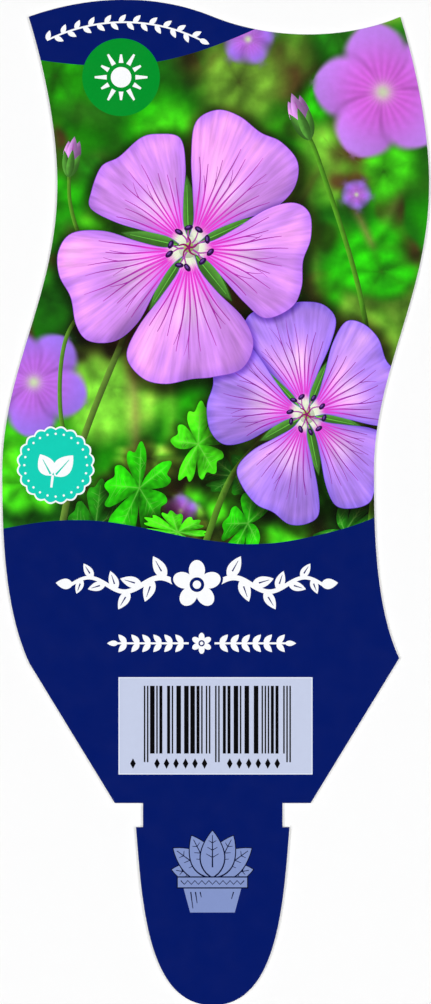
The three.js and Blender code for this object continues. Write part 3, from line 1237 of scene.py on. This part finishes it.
class Surface:
    """A material in the making, with its nodes."""

    def __init__(self, name):
        self.material = bpy.data.materials.new(name)
        self.material.use_nodes = True
        self.tree = self.material.node_tree
        self.shader = self.tree.nodes["Principled BSDF"]
        self.place = self.add("TexCoord", "Object")

    def feed(self, node, inputs):
        """Sets a node's inputs, as values or as sockets to link from."""
        for name, value in dict(inputs).items():
            if isinstance(value, bpy.types.NodeSocket):
                self.tree.links.new(value, node.inputs[name])
            else:
                node.inputs[name].default_value = value

    def add(self, kind, output, inputs=(), **settings):
        """Adds a node and gives one of its outputs."""
        node = self.tree.nodes.new("ShaderNode" + kind)
        for name, value in settings.items():
            setattr(node, name, value)
        self.feed(node, inputs)
        return node.outputs[output]

    def noise(self, place, scale, detail):
        return self.add("TexNoise", "Fac", {"Vector": place, "Scale": scale, "Detail": detail})

    def stretched(self, value, old, new, **settings):
        """Carries a value from one range over to another."""
        inputs = {"Value": value, "From Min": old[0], "From Max": old[1], "To Min": new[0], "To Max": new[1]}
        return self.add("MapRange", "Result", inputs, **settings)

    def uneven(self, place, scale, detail, reach):
        """A value that wanders over a range from place to place."""
        return self.stretched(self.noise(place, scale, detail), NOISE_RANGE, reach)

    def reckon(self, operation, left, right):
        return self.add("Math", "Value", {0: left, 1: right}, operation=operation)

    def scaled(self, colour, factor):
        return self.add("VectorMath", "Vector", {0: colour, "Scale": factor}, operation="SCALE")

    def finish(self, roughness, relief_scale):
        """Uneven gloss and a faint relief."""
        relief = {"Distance": RELIEF_HEIGHT, "Height": self.noise(self.place, relief_scale, 2)}
        gloss = self.uneven(self.place, GLOSS_SCALE, 4, roughness)
        normal = self.add("Bump", "Normal", {"Strength": 0.25, **relief})
        self.feed(self.shader, {"Roughness": gloss, "Normal": normal})


def printed_front():
    """Printing ink under a thin gloss varnish, with the fine threads of petals and leaves in it."""
    surface = Surface("printed_front")
    ink = surface.add("Attribute", "Color", attribute_name="ink")
    grain = surface.add("Attribute", "Vector", attribute_name="grain")
    across, along, strength = [surface.add("SeparateXYZ", axis, {"Vector": grain}) for axis in "XYZ"]
    spot = surface.add("CombineXYZ", "Vector", {"X": across, "Y": along})
    threads = surface.reckon("MULTIPLY", surface.uneven(spot, 1.0, 3, THREADS), strength)
    mottle = surface.uneven(surface.place, MOTTLE_SCALE, 2, (0.99, 1.01))
    factor = surface.reckon("ADD", threads, mottle)
    coat = {"Coat Weight": 0.1, "Coat Roughness": 0.12, "Specular IOR Level": 0.35}
    surface.feed(surface.shader, {"Base Color": surface.scaled(ink, factor), **coat})
    surface.finish(VARNISH_ROUGHNESS, VARNISH_RELIEF_SCALE)
    return surface.material


def white_plastic():
    """The bare sheet: fine-grained white plastic on the back and along the cut edge."""
    surface = Surface("white_plastic")
    shade = surface.uneven(surface.place, CLOUD_SCALE, 4, (0.97, 1.0))
    surface.feed(surface.shader, {"Base Color": surface.scaled(PLASTIC_WHITE, shade)})
    surface.finish(PLASTIC_ROUGHNESS, PLASTIC_RELIEF_SCALE)
    return surface.material


def floor_material():
    """Pale paper, which greys up the far wall so that the label doesn't mirror a white wall."""
    surface = Surface("pale_floor")
    height = surface.add("SeparateXYZ", "Z", {"Vector": surface.place})
    fade = surface.stretched(height, GREYING_HEIGHTS, FLOOR_TONES, interpolation_type="SMOOTHSTEP")
    tone = surface.reckon("MULTIPLY", fade, surface.uneven(surface.place, FLOOR_SCALE, 2, (0.99, 1.0)))
    surface.feed(surface.shader, {"Base Color": surface.scaled((1, 1, 1), tone), "Roughness": 0.85})
    return surface.material


# ---- stage, in metres ----

FLOOR_RINGS = (0.5, 1.5)
FLOOR_RADIUS = 4.0
FLOOR_DROP = 0.00005
GREYING_HEIGHTS = (0.15, 1.2)
WALL_BEND = 1.2
WALL_HEIGHT = 3.0
STAGE_SIDES = 96
SIDE_LIGHT_AZIMUTHS = (-22, 22, 158, 202)
SIDE_LIGHT_HEIGHT = radians(50)
SIDE_LIGHT_SPREAD = radians(28)
SIDE_LIGHT_POWER = 0.975
STUDIO_TINT = (0.55, 0.57, 0.60, 1)
STUDIO_STRENGTH = 0.05
LENS = 85.0
SENSOR = 36.0
VIEW_HEIGHT = 0.17118
VIEW_CENTRE = (-0.00003, 0.00009)


def stage_floor():
    """A round floor whose far edge curves up into a wall."""
    turns = np.linspace(0, pi / 2, 13)
    bend = np.stack([FLOOR_RADIUS + WALL_BEND * np.sin(turns), WALL_BEND * (1 - np.cos(turns))], 1)
    flat = [(radius, 0) for radius in FLOOR_RINGS]
    profile = [*flat, *bend, (FLOOR_RADIUS + WALL_BEND, WALL_HEIGHT)]
    vertices = [(0, 0, -FLOOR_DROP)]
    for radius, height in profile:
        for way in unit(around(STAGE_SIDES)):
            vertices.append((*(radius * way), height - FLOOR_DROP))
    sides = [(here, (here + 1) % STAGE_SIDES) for here in range(STAGE_SIDES)]
    faces = [(0, 1 + here, 1 + following) for here, following in sides]
    for low in range(1, 1 + (len(profile) - 1) * STAGE_SIDES, STAGE_SIDES):
        high = low + STAGE_SIDES
        faces += [(low + here, high + here, high + following, low + following) for here, following in sides]
    mesh = bpy.data.meshes.new("floor")
    mesh.from_pydata(vertices, [], faces)
    mesh.shade_smooth()
    mesh.materials.append(floor_material())
    add_object("floor", mesh)


def side_light(name, azimuth):
    light = bpy.data.lights.new(name, "SUN")
    light.energy = SIDE_LIGHT_POWER
    light.angle = SIDE_LIGHT_SPREAD
    lamp = add_object(name, light)
    lamp.location = (*(cos(SIDE_LIGHT_HEIGHT) * unit(azimuth)), sin(SIDE_LIGHT_HEIGHT))
    lamp.rotation_euler = lamp.location.to_track_quat("Z", "Y").to_euler()


def studio():
    """Soft light from both sides, as on a copy stand, so that none of it is mirrored straight up."""
    for number, azimuth in enumerate(SIDE_LIGHT_AZIMUTHS):
        side_light(f"side_light_{number + 1}", radians(azimuth))
    world = bpy.data.worlds.new("studio")
    world.use_nodes = True
    background = world.node_tree.nodes["Background"]
    background.inputs["Color"].default_value = STUDIO_TINT
    background.inputs["Strength"].default_value = STUDIO_STRENGTH
    bpy.context.scene.world = world
    bpy.context.scene.view_settings.view_transform = "Standard"


def overhead_camera():
    """Looks straight down on the printed face, square to it."""
    camera = bpy.data.cameras.new("camera")
    camera.lens = LENS
    camera.sensor_width = SENSOR
    camera.clip_start = 0.01
    holder = add_object("camera", camera)
    holder.location = (*VIEW_CENTRE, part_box(NODE)[1].z + VIEW_HEIGHT * LENS / SENSOR)
    bpy.context.scene.camera = holder


piece = label()
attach(piece, "root")
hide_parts(NODE)
stage_floor()
studio()
overhead_camera()
